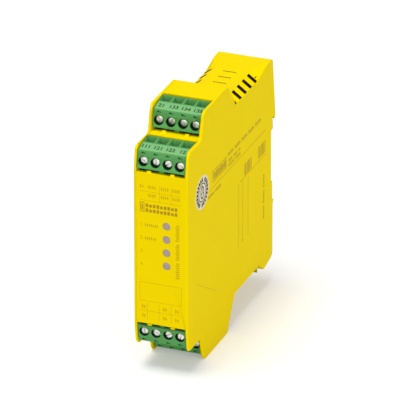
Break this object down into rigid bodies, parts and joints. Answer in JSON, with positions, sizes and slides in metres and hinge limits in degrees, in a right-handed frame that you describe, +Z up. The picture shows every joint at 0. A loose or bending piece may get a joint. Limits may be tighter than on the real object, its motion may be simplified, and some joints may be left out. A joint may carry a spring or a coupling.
{
  "type": "safety relay",
  "caption": "Narrow rail-mounted safety relay with stepped housing, pluggable screw terminals above and below, status lights and a sprung rail latch.",
  "frame": {"origin": "centre of the seat face that rests on the mounting rail", "axes": "+X across the module to its right side, +Y from front to back into the rail, +Z up"},
  "size_m": [0.0226, 0.0961, 0.1062],
  "materials": {
    "housing_yellow": "moulded polyamide, fine satin texture",
    "plug_green": "moulded polyamide",
    "header_green": "moulded polyamide",
    "screw_steel": "zinc plated steel",
    "cage_steel": "zinc plated steel",
    "contact_tin": "tin plated copper alloy",
    "latch_yellow": "moulded polyamide",
    "spring_steel": "spring steel sheet",
    "board_green": "glass epoxy with solder mask",
    "relay_case": "moulded case",
    "capacitor_sleeve": "sleeved can",
    "chip_black": "moulded epoxy",
    "led_white": "clear epoxy lamp",
    "lens_grey": "translucent light guide",
    "seal_paper": "printed round seal"
  },
  "bodies": {
    "housing": {"housing_body": "housing_yellow", "side_cover": "housing_yellow", "header_pins": "contact_tin", "riser_boards": "board_green", "main_board": "board_green", "display_board": "board_green", "relay_upper": "relay_case", "relay_lower": "relay_case", "capacitors": "capacitor_sleeve", "chips": "chip_black", "status_leds": "led_white", "led_windows": "lens_grey", "seal": "seal_paper", "header_upper_front": "header_green", "header_upper_rear": "header_green", "header_lower_front": "header_green", "header_lower_rear": "header_green"},
    "latch": {"rail_latch": "latch_yellow", "latch_spring": "spring_steel"},
    "plug_upper_front": {"plug_upper_front": "plug_green", "contacts_upper_front": "contact_tin"},
    "screw_upper_front_1": {"screw_upper_front_1": "screw_steel"},
    "cage_upper_front_1": {"cage_upper_front_1": "cage_steel"},
    "screw_upper_front_2": {"screw_upper_front_2": "screw_steel"},
    "cage_upper_front_2": {"cage_upper_front_2": "cage_steel"},
    "screw_upper_front_3": {"screw_upper_front_3": "screw_steel"},
    "cage_upper_front_3": {"cage_upper_front_3": "cage_steel"},
    "screw_upper_front_4": {"screw_upper_front_4": "screw_steel"},
    "cage_upper_front_4": {"cage_upper_front_4": "cage_steel"},
    "plug_upper_rear": {"plug_upper_rear": "plug_green", "contacts_upper_rear": "contact_tin"},
    "screw_upper_rear_1": {"screw_upper_rear_1": "screw_steel"},
    "cage_upper_rear_1": {"cage_upper_rear_1": "cage_steel"},
    "screw_upper_rear_2": {"screw_upper_rear_2": "screw_steel"},
    "cage_upper_rear_2": {"cage_upper_rear_2": "cage_steel"},
    "screw_upper_rear_3": {"screw_upper_rear_3": "screw_steel"},
    "cage_upper_rear_3": {"cage_upper_rear_3": "cage_steel"},
    "screw_upper_rear_4": {"screw_upper_rear_4": "screw_steel"},
    "cage_upper_rear_4": {"cage_upper_rear_4": "cage_steel"},
    "plug_lower_front": {"plug_lower_front": "plug_green", "contacts_lower_front": "contact_tin"},
    "screw_lower_front_1": {"screw_lower_front_1": "screw_steel"},
    "cage_lower_front_1": {"cage_lower_front_1": "cage_steel"},
    "screw_lower_front_2": {"screw_lower_front_2": "screw_steel"},
    "cage_lower_front_2": {"cage_lower_front_2": "cage_steel"},
    "screw_lower_front_3": {"screw_lower_front_3": "screw_steel"},
    "cage_lower_front_3": {"cage_lower_front_3": "cage_steel"},
    "screw_lower_front_4": {"screw_lower_front_4": "screw_steel"},
    "cage_lower_front_4": {"cage_lower_front_4": "cage_steel"},
    "plug_lower_rear": {"plug_lower_rear": "plug_green", "contacts_lower_rear": "contact_tin"},
    "screw_lower_rear_1": {"screw_lower_rear_1": "screw_steel"},
    "cage_lower_rear_1": {"cage_lower_rear_1": "cage_steel"},
    "screw_lower_rear_2": {"screw_lower_rear_2": "screw_steel"},
    "cage_lower_rear_2": {"cage_lower_rear_2": "cage_steel"},
    "screw_lower_rear_3": {"screw_lower_rear_3": "screw_steel"},
    "cage_lower_rear_3": {"cage_lower_rear_3": "cage_steel"},
    "screw_lower_rear_4": {"screw_lower_rear_4": "screw_steel"},
    "cage_lower_rear_4": {"cage_lower_rear_4": "cage_steel"}
  },
  "joints": [
    {"name": "latch_slide", "type": "slide", "parent": "housing", "child": "latch", "axis": [0, 0, -1], "range_m": [0, 0.003], "stiffness_N_per_m": 2000, "springref_m": -0.001, "deforming": ["latch_spring"]},
    {"name": "plug_upper_front_pull", "type": "slide", "parent": "housing", "child": "plug_upper_front", "axis": [0, -1, 0], "range_m": [0, 0.012]},
    {"name": "screw_upper_front_1_turn", "type": "hinge", "parent": "plug_upper_front", "child": "screw_upper_front_1", "pos_m": [-0.0075, -0.09, 0.035], "axis": [0, 1, 0], "range_deg": [0, 1080]},
    {"name": "cage_upper_front_1_lift", "type": "slide", "parent": "plug_upper_front", "child": "cage_upper_front_1", "axis": [0, -1, 0], "range_m": [0, 0.0015]},
    {"name": "screw_upper_front_2_turn", "type": "hinge", "parent": "plug_upper_front", "child": "screw_upper_front_2", "pos_m": [-0.0025, -0.09, 0.035], "axis": [0, 1, 0], "range_deg": [0, 1080]},
    {"name": "cage_upper_front_2_lift", "type": "slide", "parent": "plug_upper_front", "child": "cage_upper_front_2", "axis": [0, -1, 0], "range_m": [0, 0.0015]},
    {"name": "screw_upper_front_3_turn", "type": "hinge", "parent": "plug_upper_front", "child": "screw_upper_front_3", "pos_m": [0.0025, -0.09, 0.035], "axis": [0, 1, 0], "range_deg": [0, 1080]},
    {"name": "cage_upper_front_3_lift", "type": "slide", "parent": "plug_upper_front", "child": "cage_upper_front_3", "axis": [0, -1, 0], "range_m": [0, 0.0015]},
    {"name": "screw_upper_front_4_turn", "type": "hinge", "parent": "plug_upper_front", "child": "screw_upper_front_4", "pos_m": [0.0075, -0.09, 0.035], "axis": [0, 1, 0], "range_deg": [0, 1080]},
    {"name": "cage_upper_front_4_lift", "type": "slide", "parent": "plug_upper_front", "child": "cage_upper_front_4", "axis": [0, -1, 0], "range_m": [0, 0.0015]},
    {"name": "plug_upper_rear_pull", "type": "slide", "parent": "housing", "child": "plug_upper_rear", "axis": [0, -1, 0], "range_m": [0, 0.012]},
    {"name": "screw_upper_rear_1_turn", "type": "hinge", "parent": "plug_upper_rear", "child": "screw_upper_rear_1", "pos_m": [-0.0075, -0.07375, 0.0454], "axis": [0, 1, 0], "range_deg": [0, 1080]},
    {"name": "cage_upper_rear_1_lift", "type": "slide", "parent": "plug_upper_rear", "child": "cage_upper_rear_1", "axis": [0, -1, 0], "range_m": [0, 0.0015]},
    {"name": "screw_upper_rear_2_turn", "type": "hinge", "parent": "plug_upper_rear", "child": "screw_upper_rear_2", "pos_m": [-0.0025, -0.07375, 0.0454], "axis": [0, 1, 0], "range_deg": [0, 1080]},
    {"name": "cage_upper_rear_2_lift", "type": "slide", "parent": "plug_upper_rear", "child": "cage_upper_rear_2", "axis": [0, -1, 0], "range_m": [0, 0.0015]},
    {"name": "screw_upper_rear_3_turn", "type": "hinge", "parent": "plug_upper_rear", "child": "screw_upper_rear_3", "pos_m": [0.0025, -0.07375, 0.0454], "axis": [0, 1, 0], "range_deg": [0, 1080]},
    {"name": "cage_upper_rear_3_lift", "type": "slide", "parent": "plug_upper_rear", "child": "cage_upper_rear_3", "axis": [0, -1, 0], "range_m": [0, 0.0015]},
    {"name": "screw_upper_rear_4_turn", "type": "hinge", "parent": "plug_upper_rear", "child": "screw_upper_rear_4", "pos_m": [0.0075, -0.07375, 0.0454], "axis": [0, 1, 0], "range_deg": [0, 1080]},
    {"name": "cage_upper_rear_4_lift", "type": "slide", "parent": "plug_upper_rear", "child": "cage_upper_rear_4", "axis": [0, -1, 0], "range_m": [0, 0.0015]},
    {"name": "plug_lower_front_pull", "type": "slide", "parent": "housing", "child": "plug_lower_front", "axis": [0, -1, 0], "range_m": [0, 0.012]},
    {"name": "screw_lower_front_1_turn", "type": "hinge", "parent": "plug_lower_front", "child": "screw_lower_front_1", "pos_m": [-0.0075, -0.09, -0.0378], "axis": [0, 1, 0], "range_deg": [0, 1080]},
    {"name": "cage_lower_front_1_lift", "type": "slide", "parent": "plug_lower_front", "child": "cage_lower_front_1", "axis": [0, -1, 0], "range_m": [0, 0.0015]},
    {"name": "screw_lower_front_2_turn", "type": "hinge", "parent": "plug_lower_front", "child": "screw_lower_front_2", "pos_m": [-0.0025, -0.09, -0.0378], "axis": [0, 1, 0], "range_deg": [0, 1080]},
    {"name": "cage_lower_front_2_lift", "type": "slide", "parent": "plug_lower_front", "child": "cage_lower_front_2", "axis": [0, -1, 0], "range_m": [0, 0.0015]},
    {"name": "screw_lower_front_3_turn", "type": "hinge", "parent": "plug_lower_front", "child": "screw_lower_front_3", "pos_m": [0.0025, -0.09, -0.0378], "axis": [0, 1, 0], "range_deg": [0, 1080]},
    {"name": "cage_lower_front_3_lift", "type": "slide", "parent": "plug_lower_front", "child": "cage_lower_front_3", "axis": [0, -1, 0], "range_m": [0, 0.0015]},
    {"name": "screw_lower_front_4_turn", "type": "hinge", "parent": "plug_lower_front", "child": "screw_lower_front_4", "pos_m": [0.0075, -0.09, -0.0378], "axis": [0, 1, 0], "range_deg": [0, 1080]},
    {"name": "cage_lower_front_4_lift", "type": "slide", "parent": "plug_lower_front", "child": "cage_lower_front_4", "axis": [0, -1, 0], "range_m": [0, 0.0015]},
    {"name": "plug_lower_rear_pull", "type": "slide", "parent": "housing", "child": "plug_lower_rear", "axis": [0, -1, 0], "range_m": [0, 0.012]},
    {"name": "screw_lower_rear_1_turn", "type": "hinge", "parent": "plug_lower_rear", "child": "screw_lower_rear_1", "pos_m": [-0.0075, -0.07375, -0.0482], "axis": [0, 1, 0], "range_deg": [0, 1080]},
    {"name": "cage_lower_rear_1_lift", "type": "slide", "parent": "plug_lower_rear", "child": "cage_lower_rear_1", "axis": [0, -1, 0], "range_m": [0, 0.0015]},
    {"name": "screw_lower_rear_2_turn", "type": "hinge", "parent": "plug_lower_rear", "child": "screw_lower_rear_2", "pos_m": [-0.0025, -0.07375, -0.0482], "axis": [0, 1, 0], "range_deg": [0, 1080]},
    {"name": "cage_lower_rear_2_lift", "type": "slide", "parent": "plug_lower_rear", "child": "cage_lower_rear_2", "axis": [0, -1, 0], "range_m": [0, 0.0015]},
    {"name": "screw_lower_rear_3_turn", "type": "hinge", "parent": "plug_lower_rear", "child": "screw_lower_rear_3", "pos_m": [0.0025, -0.07375, -0.0482], "axis": [0, 1, 0], "range_deg": [0, 1080]},
    {"name": "cage_lower_rear_3_lift", "type": "slide", "parent": "plug_lower_rear", "child": "cage_lower_rear_3", "axis": [0, -1, 0], "range_m": [0, 0.0015]},
    {"name": "screw_lower_rear_4_turn", "type": "hinge", "parent": "plug_lower_rear", "child": "screw_lower_rear_4", "pos_m": [0.0075, -0.07375, -0.0482], "axis": [0, 1, 0], "range_deg": [0, 1080]},
    {"name": "cage_lower_rear_4_lift", "type": "slide", "parent": "plug_lower_rear", "child": "cage_lower_rear_4", "axis": [0, -1, 0], "range_m": [0, 0.0015]}
  ],
  "couplings": [
    {"joint": "screw_upper_front_1_turn", "follows": "cage_upper_front_1_lift", "rad_per_m": 12566},
    {"joint": "screw_upper_front_2_turn", "follows": "cage_upper_front_2_lift", "rad_per_m": 12566},
    {"joint": "screw_upper_front_3_turn", "follows": "cage_upper_front_3_lift", "rad_per_m": 12566},
    {"joint": "screw_upper_front_4_turn", "follows": "cage_upper_front_4_lift", "rad_per_m": 12566},
    {"joint": "screw_upper_rear_1_turn", "follows": "cage_upper_rear_1_lift", "rad_per_m": 12566},
    {"joint": "screw_upper_rear_2_turn", "follows": "cage_upper_rear_2_lift", "rad_per_m": 12566},
    {"joint": "screw_upper_rear_3_turn", "follows": "cage_upper_rear_3_lift", "rad_per_m": 12566},
    {"joint": "screw_upper_rear_4_turn", "follows": "cage_upper_rear_4_lift", "rad_per_m": 12566},
    {"joint": "screw_lower_front_1_turn", "follows": "cage_lower_front_1_lift", "rad_per_m": 12566},
    {"joint": "screw_lower_front_2_turn", "follows": "cage_lower_front_2_lift", "rad_per_m": 12566},
    {"joint": "screw_lower_front_3_turn", "follows": "cage_lower_front_3_lift", "rad_per_m": 12566},
    {"joint": "screw_lower_front_4_turn", "follows": "cage_lower_front_4_lift", "rad_per_m": 12566},
    {"joint": "screw_lower_rear_1_turn", "follows": "cage_lower_rear_1_lift", "rad_per_m": 12566},
    {"joint": "screw_lower_rear_2_turn", "follows": "cage_lower_rear_2_lift", "rad_per_m": 12566},
    {"joint": "screw_lower_rear_3_turn", "follows": "cage_lower_rear_3_lift", "rad_per_m": 12566},
    {"joint": "screw_lower_rear_4_turn", "follows": "cage_lower_rear_4_lift", "rad_per_m": 12566}
  ]
}
